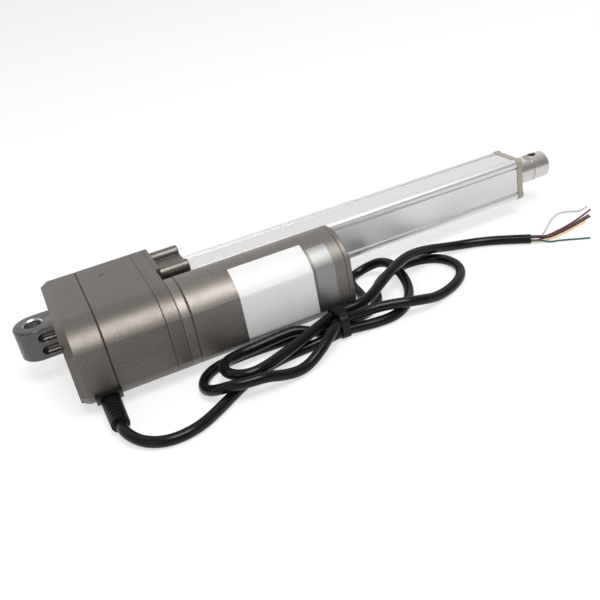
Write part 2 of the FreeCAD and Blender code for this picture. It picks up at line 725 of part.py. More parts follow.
def make_tube(magnet_x):
    body = beaded(tube_rear_x, tube_front_x, tube_face, bead_centre, bead_r)
    step = math.sqrt(bead_r ** 2 - (tube_face - bead_centre) ** 2)
    groove_at = bead_centre - step
    grooves = []
    for a, b in four_corners(tube_face, groove_at):
        grooves.append(bar(tube_rear_x, tube_front_x, groove_r, a, b))
        grooves.append(bar(tube_rear_x, tube_front_x, groove_r, b, a))
    channels = [bar(tube_rear_x, tube_front_x, channel_r, y, z)
                for y, z in four_corners(bead_centre, bead_centre)]
    bore = bar(tube_rear_x, tube_front_x, tube_bore_r)
    slot = box(tube_rear_x, tube_front_x, -board_w / 2, board_w / 2, -slot_depth, 0)
    save("outer_tube", without(body, bore, slot, *grooves, *channels))
    board_z = -slot_depth + board_t
    save("limit_board", box(tube_rear_x, guide_x, -board_w / 2, board_w / 2, -slot_depth, board_z))
    half_len = sensor_len / 2
    sensors = [box(x - half_len, x + half_len, -sensor_w / 2, sensor_w / 2, board_z, board_z + sensor_h)
               for x in (magnet_x, magnet_x + stroke)]
    save("limit_sensors", *sensors)
    save("guide_bush", ring(guide_x, tube_front_x, tube_bore_r, rod_r + running_gap))


def make_front_cap():
    x0 = tube_front_x
    x1 = x0 + front_cap_t
    body = beaded(x0, x1, tube_face + front_cap_proud, bead_centre, bead_r + front_cap_proud)
    thread, head, height = small_screw
    cuts = [bar(x0, x1, rod_r + side_gap), bar(x0, x0 + wiper_t, wiper_r)]
    cuts += [bar(x0, x1, thread, y, z) for y, z in four_corners(bead_centre, bead_centre)]
    cuts += [bar(x1 - height, x1, head, y, z) for y, z in four_corners(bead_centre, bead_centre)]
    save("front_end_cap", without(body, *cuts))
    save("wiper_seal", ring(x0, x0 + wiper_t, wiper_r, rod_r + running_gap))
    save("front_cap_screws", *[screw(small_screw, x1 - height, small_screw_len, y, z, -1)
                               for y, z in four_corners(bead_centre, bead_centre)])


def make_grommet():
    """Rubber boot with a saddle that hugs the lobe and a neck in the rear cover's wall."""
    outside = prism(gearbox_face(0), rear_face_x, plate_x)
    inside = prism(gearbox_face(shell_wall), rear_inner_x, wall_x)
    half = grommet_saddle_w / 2
    block = box(grommet_x - half, grommet_x + half, grommet_end_y, motor_y,
                floor_z + side_gap, -grommet_saddle_top)
    saddle = bar(rear_face_x, plate_x, lobe_r + grommet_saddle_t, motor_y).common(block)
    down_cable = V(0, -1, 0)
    length = motor_y - grommet_end_y
    boot = Part.makeCone(grommet_r, grommet_tip_r, length, V(grommet_x, motor_y, grommet_z), down_cable)
    core = Part.makeCone(grommet_r - grommet_rib_depth, grommet_tip_r - grommet_rib_depth, length,
                         V(grommet_x, motor_y, grommet_z), down_cable)
    for i in range(1, grommet_ribs + 1):
        start = V(grommet_x, grommet_end_y + i * grommet_rib_pitch, grommet_z)
        boot = boot.cut(Part.makeCylinder(grommet_r, grommet_rib_gap, start, down_cable).cut(core))
    neck = grommet_hole(grommet_neck_r).common(outside).cut(inside)
    save("cable_grommet", joined(saddle.cut(outside), boot.cut(outside), neck))


# Heights of the cable's middle where it lies on the ground and in the tie
ground = floor_z + cable_r + cord_lift
tie_low = floor_z + cable_r + tie_lift
tie_high = tie_low + strand_pitch

# The cable's five passes through the tie
strand_first = (tie_x, -77.4, tie_low)
strand_large = (tie_x, -71.2, tie_low)
strand_small = (tie_x, -65.0, tie_low)
strand_outer = (tie_x, -75.2, tie_high)
strand_tail = (tie_x, -67.6, tie_high)

cable_route = [
    # out of the grommet and round to the tie
    (grommet_x, grommet_end_y, grommet_z), (grommet_x, grommet_end_y - cable_lead, grommet_z),
    (27.4, -97.2, -20.4), (32.2, -104.2, -21.7), (40.5, -109.8, ground),
    (50.5, -111.3, ground), (61.5, -108.5, ground), (72.0, -102.0, ground), (82.5, -94.5, ground),
    (93.5, -87.2, ground), (106.0, -81.5, ground), (121.0, -78.3, ground), (141.0, -77.8, ground),
    strand_first,
    # large loop on the right and back under the tail
    (174.0, -79.6, -21.6), (193.0, -80.6, ground), (211.0, -81.2, ground), (224.0, -78.4, ground),
    (235.0, -72.0, ground), (243.5, -62.0, ground), (246.5, -49.0, ground), (243.0, -36.5, ground),
    (233.0, -29.2, ground), (218.0, -28.4, ground), (203.0, -35.5, ground), (192.5, -46.0, ground),
    (188.5, -58.0, ground), (178.0, -67.2, -21.9),
    strand_large,
    # outer loop on the left, over the first run
    (138.0, -68.2, -21.7), (120.0, -66.8, ground), (105.0, -68.4, ground), (92.0, -69.3, ground),
    (80.5, -70.8, ground), (72.8, -76.4, ground), (72.2, -85.0, -20.6), (79.5, -91.8, -16.2),
    (90.0, -94.8, -14.8), (101.0, -95.8, -15.4), (112.0, -95.3, -19.8), (123.0, -93.4, ground),
    (135.0, -89.4, -18.4), (145.0, -83.3, -14.2),
    strand_outer,
    # small loop on the right, over the large one and round the end of the motor
    (172.0, -74.3, -16.4), (188.0, -73.3, -21.4), (201.0, -69.0, ground), (209.0, -59.3, ground),
    (212.3, -47.0, -19.0), (212.2, -36.0, -15.5), (208.5, -25.5, -15.5), (200.0, -18.4, -20.2),
    (190.5, -19.8, ground), (185.0, -30.0, ground), (184.0, -43.0, ground), (181.5, -54.5, ground),
    (171.5, -61.8, -21.7),
    strand_small,
    # inner loop on the left, over the outer one
    (139.0, -61.2, -21.7), (120.0, -59.6, ground), (106.0, -61.8, -20.2), (95.5, -65.8, -16.0),
    (88.3, -72.2, -15.0), (88.2, -80.0, -15.0), (95.0, -86.0, -15.0), (106.0, -88.4, -17.6),
    (117.5, -87.2, -21.4), (130.0, -84.3, -18.0), (141.5, -77.4, -14.0),
    strand_tail,
    # tail, over the loops and out to the stripped end
    (176.0, -68.3, -13.5), (190.0, -59.5, -11.2), (205.0, -50.0, -9.0), (220.0, -42.0, -9.0),
    (238.0, -34.5, -14.2), (257.0, -29.6, -20.8), (275.0, -34.0, ground), (289.0, -43.2, ground),
    (301.6, -53.9, ground),
]

# Routes of the stripped cores after their first short run, by colour, lying on the ground
wire_ground = floor_z + core_wire_r + cord_lift
core_routes = {
    "white": (0, [(312.5, -50.8), (319.9, -45.6), (330.1, -37.3), (338.5, -32.2), (344.8, -31.6),
                  (350.0, -35.6), (354.4, -39.0), (361.5, -36.0)]),
    "red": (60, [(313.6, -53.4), (321.0, -52.6), (329.5, -51.3), (336.8, -49.6), (344.5, -47.2),
                 (353.0, -44.1), (359.5, -41.6)]),
    "brown": (300, [(313.8, -55.1), (321.2, -54.3), (329.9, -53.0), (337.3, -51.2), (345.2, -49.3),
                    (353.0, -47.3)]),
    "black": (120, [(313.9, -56.8), (321.4, -56.0), (330.2, -54.7), (337.7, -53.1), (345.4, -51.3),
                    (352.4, -49.5)]),
    "yellow": (240, [(314.1, -58.5), (321.6, -57.7), (330.5, -56.4), (338.2, -55.0), (345.0, -53.6)]),
    "green": (180, [(309.5, -61.2), (315.0, -63.6), (320.0, -66.6), (325.0, -70.2), (331.1, -74.0)]),
}


def rounded_path(points):
    """Straight runs joined by tangent arcs as large as the runs allow, with the smallest radius."""
    runs = [b.sub(a) for a, b in zip(points, points[1:])]
    edges = []
    start = points[0]
    smallest = float("inf")
    for corner, before, after in zip(points[1:-1], runs, runs[1:]):
        turn = before.getAngle(after)
        reach = bend_share * min(before.Length, after.Length)
        radius = reach / math.tan(turn / 2)
        smallest = min(smallest, radius)
        way_in = V(before).normalize()
        way_out = V(after).normalize()
        a = corner - way_in * reach
        b = corner + way_out * reach
        inward = way_out.sub(way_in).normalize()
        middle = corner + inward * (radius / math.cos(turn / 2) - radius)
        edges.append(line(start, a))
        edges.append(arc(a, middle, b))
        start = b
    edges.append(line(start, points[-1]))
    return Part.Wire(edges), smallest


def tube_along(name, points, r):
    path, smallest = rounded_path(points)
    section = Part.Wire(Part.makeCircle(r, points[0], points[1].sub(points[0])))
    solid = path.makePipeShell([section], True, False)
    ratio = solid.Volume / (math.pi * r * r * path.Length)
    print(f"{name}: length {path.Length:.1f}, smallest radius {smallest:.1f}, volume ratio {ratio:.4f}")
    save(name, solid)


def make_cable():
    points = [V(*p) for p in cable_route]
    tube_along("cable", points, cable_r)
    last = points[-1]
    way = last.sub(points[-2]).normalize()
    side = V(-way.y, way.x, 0)
    for colour, (angle, floor_points) in core_routes.items():
        a = math.radians(angle)
        start = last + side * (core_circle_r * math.cos(a)) + AXIS_Z * (core_circle_r * math.sin(a))
        first = start + way * core_lead
        route = [start, first] + [V(x, y, wire_ground) for x, y in floor_points]
        tube_along("core_" + colour, route, core_wire_r)


def make_tie():
    """Strap round the five strands, its head on top."""
    _, first_y, _ = strand_first
    _, small_y, _ = strand_small
    _, tail_y, _ = strand_tail
    corners = [(small_y, tie_low), (first_y, tie_low), (first_y, tie_high), (tail_y, tie_high)]
    outline = Part.makePolygon([V(0, y, z) for y, z in corners + corners[:1]])
    inner = Part.Face(outline.makeOffset2D(cable_r + tie_slack))
    outer = Part.Face(outline.makeOffset2D(cable_r + tie_slack + tie_t))
    strap = prism(outer.cut(inner), tie_x - tie_w / 2, tie_x + tie_w / 2)
    half = tie_head / 2
    strap_top = tie_high + cable_r + tie_slack
    head = box(tie_x - half, tie_x + half, first_y - half, first_y + half, strap_top, strap_top + tie_head_h)
    save("cable_tie", joined(strap, head.cut(prism(outer, tie_x - half, tie_x + half))))


os.makedirs("parts", exist_ok=True)
make_rear_clevis()
make_rear_cover()
make_gasket()
make_gearbox_housing()
make_front_plate()
make_tube_socket()
make_motor_shell()
make_motor_stator()
make_armature()
make_idler()
make_screw()
make_tube(make_rod())
make_front_cap()
make_grommet()
make_cable()
make_tie()
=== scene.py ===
import math

import bmesh
import bpy
from mathutils import Matrix, Vector


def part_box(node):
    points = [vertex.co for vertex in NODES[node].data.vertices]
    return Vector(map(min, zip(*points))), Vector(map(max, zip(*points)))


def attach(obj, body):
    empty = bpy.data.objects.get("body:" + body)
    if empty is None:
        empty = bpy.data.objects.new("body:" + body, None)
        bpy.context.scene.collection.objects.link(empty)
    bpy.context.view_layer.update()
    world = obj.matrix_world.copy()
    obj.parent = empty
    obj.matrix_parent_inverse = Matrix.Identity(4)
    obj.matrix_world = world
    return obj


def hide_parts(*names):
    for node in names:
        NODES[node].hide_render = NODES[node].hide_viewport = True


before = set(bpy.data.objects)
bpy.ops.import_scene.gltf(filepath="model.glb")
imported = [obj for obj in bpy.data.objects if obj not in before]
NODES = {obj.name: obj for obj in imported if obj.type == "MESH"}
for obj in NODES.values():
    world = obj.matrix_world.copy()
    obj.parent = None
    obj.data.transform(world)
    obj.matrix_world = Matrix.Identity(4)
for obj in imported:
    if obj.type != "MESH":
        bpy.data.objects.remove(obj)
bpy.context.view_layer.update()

# The object's lengths are written in millimetres and turned into metres by MM.
# Those of the stage are in metres.
MM = 0.001

# Shared sizes of the object, as its solids have them
FLOOR_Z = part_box("motor_cover")[0].z
MOTOR_Y = -41.0
LOBE_R = 25.2
FLAT_OFFSET = 21.6


def add_object(name, data):
    """New object in the scene."""
    added = bpy.data.objects.new(name, data)
    bpy.context.scene.collection.objects.link(added)
    return added


def evaluated_mesh(piece):
    """New mesh of a piece as it is seen now, with its modifiers or its curve's line."""
    bpy.context.view_layer.update()
    graph = bpy.context.evaluated_depsgraph_get()
    return bpy.data.meshes.new_from_object(piece.evaluated_get(graph))


# Camera at the photograph's angle, for a square image of 600 pixels
CAMERA_AZIMUTH = math.radians(-18.47)
CAMERA_ELEVATION = math.radians(28.21)
CAMERA_ROLL = math.radians(11.21)
CAMERA_TARGET = Vector((159.96, 0.63, -36.65)) * MM
CAMERA_DISTANCE = 513.09 * MM
CAMERA_CLIP_START = 0.01
FOCAL_PIXELS = 786.8
IMAGE_PIXELS = 600
SENSOR = 36.0


def make_camera():
    outward = Vector((math.sin(CAMERA_AZIMUTH) * math.cos(CAMERA_ELEVATION),
                      -math.cos(CAMERA_AZIMUTH) * math.cos(CAMERA_ELEVATION),
                      math.sin(CAMERA_ELEVATION)))
    level_right = Vector((0, 0, 1)).cross(outward).normalized()
    level_up = outward.cross(level_right)
    right = level_right * math.cos(CAMERA_ROLL) - level_up * math.sin(CAMERA_ROLL)
    up = outward.cross(right)
    matrix = Matrix((right, up, outward)).transposed().to_4x4()
    matrix.translation = CAMERA_TARGET + outward * CAMERA_DISTANCE
    data = bpy.data.cameras.new("camera")
    data.sensor_width = SENSOR
    data.sensor_fit = "HORIZONTAL"
    data.lens = FOCAL_PIXELS * SENSOR / IMAGE_PIXELS
    data.clip_start = CAMERA_CLIP_START
    camera = add_object("camera", data)
    camera.matrix_world = matrix
    bpy.context.scene.camera = camera


make_camera()

# Cords: gap under them, how finely their splines and their round sections are divided, and
# their bevel, which each point's radius scales
CORD_LIFT = 0.1
CORD_STEPS = 10
CORD_BEVEL_STEPS = 6
CORD_BEVEL = 1.0

# Cable: 6 mm jacket from the grommet through a tied hank to the stripped end.
# In the tie it lies in two layers.
CABLE_D = 6.0
GROUND = FLOOR_Z / MM + CABLE_D / 2 + CORD_LIFT
TIE_X = 156.0
TIE_RISE = 1.6
TIE_LAYER = 6.3
TIE_LOW = GROUND + TIE_RISE
TIE_HIGH = TIE_LOW + TIE_LAYER
CABLE_EXIT = (25.2, -86.0, -19.2)
CABLE_ROUTE = [
    # out of the grommet and round to the tie
    CABLE_EXIT, (25.2, -91.0, -19.2), (27.4, -97.2, -20.4), (32.2, -104.2, -21.7),
    (40.5, -109.8, GROUND), (50.5, -111.3, GROUND), (61.5, -108.5, GROUND), (72.0, -102.0, GROUND),
    (82.5, -94.5, GROUND), (93.5, -87.2, GROUND), (106.0, -81.5, GROUND), (121.0, -78.3, GROUND),
    (141.0, -77.8, GROUND),
    (TIE_X, -77.4, TIE_LOW),
    # small loop on the right, over the end of the large one and round the end of the motor
    (167.0, -78.6, -21.6), (177.0, -79.8, GROUND), (186.5, -79.8, GROUND), (194.5, -76.4, GROUND),
    (201.5, -70.0, GROUND), (207.2, -61.8, GROUND), (211.0, -53.4, -21.4), (212.3, -45.4, -18.7),
    (212.2, -36.0, -15.5), (208.5, -25.8, -15.5), (201.8, -19.2, -19.6), (193.2, -18.4, GROUND),
    (186.6, -23.4, GROUND), (184.4, -33.0, GROUND), (183.8, -44.0, GROUND), (181.5, -54.5, GROUND),
    (171.5, -61.8, -21.7),
    (TIE_X, -65.0, TIE_LOW),
    # outer loop on the left, over the first run
    (146.0, -65.0, GROUND), (134.0, -63.8, GROUND), (120.0, -62.5, GROUND), (105.0, -61.5, GROUND),
    (92.0, -61.8, GROUND), (82.0, -63.9, GROUND), (74.2, -70.4, GROUND), (71.0, -80.2, -21.8),
    (74.2, -89.8, -18.5), (82.0, -96.2, -15.3), (91.5, -98.8, -15.2), (101.0, -99.2, -15.8),
    (112.0, -98.4, -20.0), (123.0, -96.2, GROUND), (134.0, -92.0, -18.8), (145.5, -84.8, -14.4),
    (TIE_X, -75.2, TIE_HIGH),
    # large loop on the right, over the start of the small one and back under the tail
    (169.0, -74.8, -15.6), (178.0, -75.0, -15.6), (187.0, -77.6, -15.5), (196.0, -81.0, -15.9),
    (205.5, -81.4, -17.8), (215.5, -78.6, -21.2), (226.0, -75.0, GROUND), (236.5, -69.4, GROUND),
    (244.8, -60.8, GROUND), (248.2, -48.8, GROUND), (244.6, -36.4, GROUND), (234.0, -29.2, GROUND),
    (218.0, -28.4, GROUND), (203.0, -35.5, GROUND), (192.5, -46.0, GROUND), (188.5, -58.0, GROUND),
    (178.0, -67.2, -21.9),
    (TIE_X, -71.2, TIE_LOW),
    # inner loop on the left, over the outer one
    (146.5, -71.3, -20.8), (139.5, -70.0, -18.5), (131.5, -67.0, -15.5), (120.0, -66.6, -16.0),
    (106.0, -66.4, -17.2), (94.9, -67.4, -17.0), (87.0, -71.6, -16.2), (83.9, -79.8, -15.6),
    (87.0, -88.2, -15.3), (95.2, -92.4, -15.3), (105.5, -90.2, -15.4), (116.0, -85.2, -15.7),
    (128.0, -80.0, -15.7), (141.5, -74.4, -14.4),
    (TIE_X, -67.6, TIE_HIGH),
    # tail, over the loops and out to the stripped end
    (176.0, -68.3, -13.5), (190.0, -59.5, -11.2), (205.0, -50.0, -9.0), (220.0, -42.0, -9.0),
    (238.0, -34.5, -14.2), (257.0, -29.6, -20.8), (275.0, -34.0, GROUND), (289.0, -43.2, GROUND),
    (301.6, -53.9, GROUND),
]

# Stripped cores: where each leaves the jacket, in degrees round it, then its points on the ground
CORE_D = 1.2
CORE_CIRCLE_R = 1.75
CORE_START = 4.0
CORE_GROUND = FLOOR_Z / MM + CORE_D / 2 + CORD_LIFT
CORES = {
    "white": (0, [(312.5, -50.8), (319.9, -45.6), (330.1, -37.3), (338.5, -32.2), (344.8, -31.6),
                  (350.0, -35.6), (354.4, -39.0), (361.5, -36.0)]),
    "red": (60, [(313.6, -53.4), (321.0, -52.6), (329.5, -51.3), (336.8, -49.6), (344.5, -47.2),
                 (353.0, -44.1), (359.5, -41.6)]),
    "brown": (300, [(313.8, -55.1), (321.2, -54.3), (329.9, -53.0), (337.3, -51.2), (345.2, -49.3),
                    (353.0, -47.3)]),
    "black": (120, [(313.9, -56.8), (321.4, -56.0), (330.2, -54.7), (337.7, -53.1), (345.4, -51.3),
                    (352.4, -49.5)]),
    "yellow": (240, [(314.1, -58.5), (321.6, -57.7), (330.5, -56.4), (338.2, -55.0),
                     (345.0, -53.6)]),
    "green": (180, [(309.5, -61.2), (315.0, -63.6), (320.0, -66.6), (325.0, -70.2),
                    (331.1, -74.0)]),
}


def nurbs(name, points, diameter):
    """Round cord on one smooth spline, with these points in millimetres as its control points."""
    curve = bpy.data.curves.new(name, "CURVE")
    curve.dimensions = "3D"
    curve.bevel_depth = CORD_BEVEL
    curve.bevel_resolution = CORD_BEVEL_STEPS
    curve.use_fill_caps = True
    curve.resolution_u = CORD_STEPS
    spline = curve.splines.new("NURBS")
    spline.points.add(len(points) - 1)
    for point, place in zip(spline.points, points):
        point.co = (*(Vector(place) * MM), 1.0)
        point.radius = diameter / 2 * MM
    spline.order_u = 3
    spline.use_endpoint_u = True
    return add_object(name, curve)


def spline_length(piece):
    """Length of a cord's own line, in metres."""
    piece.data.bevel_depth = 0
    mesh = evaluated_mesh(piece)
    line = [v.co.copy() for v in mesh.vertices]
    bpy.data.meshes.remove(mesh)
    piece.data.bevel_depth = CORD_BEVEL
    return sum((b - a).length for a, b in zip(line, line[1:]))


def make_cords():
    cable = nurbs("cable_jacket", CABLE_ROUTE, CABLE_D)
    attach(cable, "housing")
    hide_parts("cable")
    cords = {"cable": cable}
    end = Vector(CABLE_ROUTE[-1])
    way = (end - Vector(CABLE_ROUTE[-2])).normalized()
    side = Vector((-way.y, way.x, 0))
    for colour, (angle, ground_points) in CORES.items():
        a = math.radians(angle)
        sideways = side * (CORE_CIRCLE_R * math.cos(a))
        start = end + sideways + Vector((0, 0, CORE_CIRCLE_R * math.sin(a)))
        route = [start, start + way * CORE_START]
        route += [Vector((x, y, CORE_GROUND)) for x, y in ground_points]
        core = nurbs("lead_" + colour, route, CORE_D)
        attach(core, "housing")
        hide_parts("core_" + colour)
        spline_length(core)
        cords[colour] = core
    return cords


cords = make_cords()

# Textures of the finishes: each noise's features per metre and its detail
FLAKE = (1700, 3.0)
PAINT_PATCHES = (70, 4.0)
PAINT_GRAIN = (1300, 2.0)
DRAWN_MARKS = (900, 4.0)
TURNED_MARKS = (1400, 3.0)
MOULD_GRAIN = (1800, 3.0)
MOULD_PATCHES = (90, 3.0)
# Scale along X, Y and Z of marks that run along X or round it
ALONG_X = (0.02, 1, 1)
ROUND_X = (1, 0.02, 0.02)
# Middle part of a noise's values, over which a colour or a roughness changes
COLOR_BAND = (0.35, 0.65)
ROUGHNESS_BAND = (0.3, 0.7)
# Darkest and lightest shade of a base colour
FLAKE_SHADES = (0.84, 1.16)
DRAWN_SHADES = (0.985, 1.01)
# Least and most that is added to a finish's roughness
PAINT_SPREAD = (-0.03, 0.04)
DRAWN_SPREAD = (-0.02, 0.03)
TURNED_SPREAD = (-0.03, 0.06)
MOULD_SPREAD = (-0.05, 0.06)
# Heights of the bumps, and radii of edges that look rounded
PAINT_BUMP = 0.1 * MM
DRAWN_BUMP = 0.05 * MM
DRAWN_EDGE = 0.3 * MM
TURNED_BUMP = 0.03 * MM
TURNED_EDGE = 0.2 * MM
MOULD_BUMP = 0.08 * MM
EDGE_SAMPLES = 6


def material(name, base, metallic=0.0, roughness=0.5, specular=0.5):
    """New material whose shader has these constant values."""
    made = bpy.data.materials.new(name)
    made.use_nodes = True
    shader = made.node_tree.nodes["Principled BSDF"]
    shader.inputs["Base Color"].default_value = (*base, 1)
    shader.inputs["Metallic"].default_value = metallic
    shader.inputs["Roughness"].default_value = roughness
    shader.inputs["Specular IOR Level"].default_value = specular
    return made


def noise(made, scale, detail, stretch=(1, 1, 1)):
    """Noise in the object's own coordinates; scale is in features per metre."""
    nodes = made.node_tree.nodes
    links = made.node_tree.links
    place = nodes.new("ShaderNodeTexCoord")
    mapping = nodes.new("ShaderNodeMapping")
    mapping.inputs["Scale"].default_value = stretch
    texture = nodes.new("ShaderNodeTexNoise")
    texture.inputs["Scale"].default_value = scale
    texture.inputs["Detail"].default_value = detail
    links.new(place.outputs["Object"], mapping.inputs["Vector"])
    links.new(mapping.outputs["Vector"], texture.inputs["Vector"])
    return texture.outputs["Fac"]


def vary_color(made, source, base, shades):
    """Base colour that goes from a darker to a lighter shade with a texture."""
    nodes = made.node_tree.nodes
    ramp = nodes.new("ShaderNodeValToRGB")
    for element, position, factor in zip(ramp.color_ramp.elements, COLOR_BAND, shades):
        element.position = position
        element.color = (*(min(1.0, c * factor) for c in base), 1)
    made.node_tree.links.new(source, ramp.inputs["Fac"])
    made.node_tree.links.new(ramp.outputs["Color"], nodes["Principled BSDF"].inputs["Base Color"])


def vary_roughness(made, source, roughness, spread):
    """Roughness that changes a little with a texture."""
    nodes = made.node_tree.nodes
    band = nodes.new("ShaderNodeMapRange")
    band.inputs["From Min"].default_value = ROUGHNESS_BAND[0]
    band.inputs["From Max"].default_value = ROUGHNESS_BAND[1]
    band.inputs["To Min"].default_value = roughness + spread[0]
    band.inputs["To Max"].default_value = roughness + spread[1]
    made.node_tree.links.new(source, band.inputs["Value"])
    made.node_tree.links.new(band.outputs["Result"], nodes["Principled BSDF"].inputs["Roughness"])


def add_bump(made, source, strength, distance, edge=0.0):
    """Bump from a texture, over edges that look rounded by a radius of edge metres."""
    nodes = made.node_tree.nodes
    links = made.node_tree.links
    bump = nodes.new("ShaderNodeBump")
    bump.inputs["Strength"].default_value = strength
    bump.inputs["Distance"].default_value = distance
    links.new(source, bump.inputs["Height"])
    links.new(bump.outputs["Normal"], nodes["Principled BSDF"].inputs["Normal"])
    if edge:
        bevel = nodes.new("ShaderNodeBevel")
        bevel.samples = EDGE_SAMPLES
        bevel.inputs["Radius"].default_value = edge
        links.new(bevel.outputs["Normal"], bump.inputs["Normal"])


def metallic_paint(name, base, metallic, roughness, grain, edge):
    """Satin paint with metal flake, a slight grain and soft edges."""
    made = material(name, base, metallic, roughness)
    vary_color(made, noise(made, *FLAKE), base, FLAKE_SHADES)
    vary_roughness(made, noise(made, *PAINT_PATCHES), roughness, PAINT_SPREAD)
    add_bump(made, noise(made, *PAINT_GRAIN), grain, PAINT_BUMP, edge)
    return made


def drawn_metal(name, base, roughness, scratch):
    """Bright metal with fine marks along X."""
    made = material(name, base, metallic=1.0, roughness=roughness)
    marks = noise(made, *DRAWN_MARKS, stretch=ALONG_X)
    vary_roughness(made, marks, roughness, DRAWN_SPREAD)
    vary_color(made, marks, base, DRAWN_SHADES)
    add_bump(made, marks, scratch, DRAWN_BUMP, DRAWN_EDGE)
    return made


def turned_metal(name, base, roughness, mark):
    """Bright metal with fine marks round X."""
    made = material(name, base, metallic=1.0, roughness=roughness)
    marks = noise(made, *TURNED_MARKS, stretch=ROUND_X)
    vary_roughness(made, marks, roughness, TURNED_SPREAD)
    add_bump(made, marks, mark, TURNED_BUMP, TURNED_EDGE)
    return made


def moulded(name, base, roughness, grain=0.08, specular=0.5, mottle=0.1):
    """Moulded plastic or rubber with a fine grain."""
    made = material(name, base, roughness=roughness, specular=specular)
    fine = noise(made, *MOULD_GRAIN)
    vary_color(made, noise(made, *MOULD_PATCHES), base, (1 - mottle, 1 + mottle))
    vary_roughness(made, fine, roughness, MOULD_SPREAD)
    add_bump(made, fine, grain, MOULD_BUMP)
    return made


GREY_PAINT = metallic_paint("grey_paint", (0.14, 0.125, 0.113), metallic=0.85, roughness=0.41,
                            grain=0.06, edge=0.4 * MM)
# The motor cover's paint is the gearbox's grey paint made about a quarter lighter, as painted light
# for the cover's brighter look.
LIT_COVER_PAINT = metallic_paint("lit_cover_paint", (0.182, 0.166, 0.15), metallic=0.85, roughness=0.42,
                             grain=0.06, edge=0.4 * MM)
CLEVIS_PAINT = metallic_paint("clevis_paint", (0.105, 0.1, 0.096), metallic=0.85, roughness=0.26,
                              grain=0.12, edge=0.6 * MM)
CAP_PAINT = metallic_paint("cap_paint", (0.34, 0.315, 0.265), metallic=0.25, roughness=0.46,
                           grain=0.15, edge=0.4 * MM)
ANODISED = drawn_metal("anodised", (0.755, 0.74, 0.745), roughness=0.41, scratch=0.015)
FOIL = drawn_metal("foil", (0.27, 0.275, 0.27), roughness=0.42, scratch=0.01)
CHROME = turned_metal("chrome", (0.62, 0.585, 0.56), roughness=0.29, mark=0.03)
STEEL = turned_metal("steel", (0.56, 0.56, 0.56), roughness=0.3, mark=0.1)
ZINC = turned_metal("zinc", (0.62, 0.62, 0.63), roughness=0.28, mark=0.1)
BRONZE = turned_metal("bronze", (0.55, 0.38, 0.17), roughness=0.35, mark=0.1)
COPPER = turned_metal("copper", (0.72, 0.34, 0.18), roughness=0.3, mark=0.15)
NYLON = moulded("nylon", (0.78, 0.76, 0.7), roughness=0.45)
FERRITE = moulded("ferrite", (0.06, 0.06, 0.06), roughness=0.6)
CARBON = moulded("carbon", (0.03, 0.03, 0.03), roughness=0.6)
BOARD = moulded("board", (0.03, 0.16, 0.08), roughness=0.35)
BLACK_PLASTIC = moulded("black_plastic", (0.006, 0.006, 0.007), roughness=0.38, specular=0.2)
GROMMET = moulded("grommet", (0.006, 0.006, 0.007), roughness=0.4, grain=0.12, specular=0.22)
JACKET = moulded("jacket", (0.004, 0.004, 0.005), roughness=0.21, grain=0.008, specular=0.22)
SEAM = moulded("seam", (0.012, 0.011, 0.01), roughness=0.6, specular=0.3)
STICKER = moulded("sticker", (0.68, 0.68, 0.675), roughness=0.38, grain=0.02, mottle=0.015)
CORE_COLOURS = {
    "white": (0.5, 0.49, 0.47),
    "red": (0.11, 0.012, 0.018),
    "yellow": (0.8, 0.52, 0.27),
    "brown": (0.13, 0.045, 0.028),
    "green": (0.014, 0.075, 0.055),
    "black": (0.01, 0.01, 0.011),
}

FINISHES = {
    GREY_PAINT: "rear_cover gearbox_housing front_plate tube_socket",
    LIT_COVER_PAINT: "motor_ring motor_cover motor_end_cap",
    CLEVIS_PAINT: "rear_clevis",
    ANODISED: "outer_tube",
    CAP_PAINT: "front_end_cap",
    CHROME: "piston_rod rod_end",
    STEEL: "armature_shaft armature_core motor_pinion lead_screw gear_clip bearing_inner_races "
           "bearing_outer_races idler_pin motor_can motor_front_bell",
    ZINC: "clevis_screws gearbox_screws tube_screws motor_tie_bolts front_cap_screws",
    NYLON: "idler_gear screw_gear drive_nut",
    BRONZE: "motor_bearings guide_bush",
    COPPER: "armature_windings commutator",
    FERRITE: "motor_magnets nut_magnet hall_magnet",
    CARBON: "brushes",
    BOARD: "hall_board limit_board",
    BLACK_PLASTIC: "brush_plate limit_sensors cable_tie",
    SEAM: "gearbox_gasket wiper_seal",
    GROMMET: "cable_grommet",
}


def finish_piece(piece, made):
    piece.data.materials.clear()
    piece.data.materials.append(made)


def finish_nodes():
    for made, names in FINISHES.items():
        for name in names.split():
            finish_piece(NODES[name], made)
    finish_piece(cords["cable"], JACKET)
    for colour, base in CORE_COLOURS.items():
        insulation = moulded("insulation_" + colour, base, roughness=0.4, grain=0.03)
        finish_piece(cords[colour], insulation)


finish_nodes()


def mesh_object(name, mesh_maker):
    """Object with the mesh of a bmesh that mesh_maker fills."""
    mesh = bpy.data.meshes.new(name)
    shape = bmesh.new()
    mesh_maker(shape)
    shape.to_mesh(mesh)
    shape.free()
    return add_object(name, mesh)


def new_piece(name, mesh_maker, body, made):
    """Mesh piece that rides on a body."""
    piece = mesh_object(name, mesh_maker)
    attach(piece, body)
    finish_piece(piece, made)
    return piece


# Deep rim of the rear cover: X of its rear face and of its chamfer's edge, first in its solid
# and then in the photograph
RIM_SOLID = (15.0, 17.4)
RIM_SEEN = (10.8, 15.2)
RIM_TOLERANCE = 0.01


def make_rear_shell():
    """Rear cover whose rim reaches further back than its solid's, with a deeper chamfer."""
    mesh = NODES["rear_cover"].data.copy()
    mesh.name = "rear_shell"
    deepen = (RIM_SEEN[1] - RIM_SEEN[0]) / (RIM_SOLID[1] - RIM_SOLID[0])
    for vertex in mesh.vertices:
        x = vertex.co.x / MM
        if x < RIM_SOLID[1] + RIM_TOLERANCE:
            vertex.co.x = (RIM_SEEN[0] + (x - RIM_SOLID[0]) * deepen) * MM
    piece = add_object("rear_shell", mesh)
    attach(piece, "housing")
    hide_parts("rear_cover")


make_rear_shell()

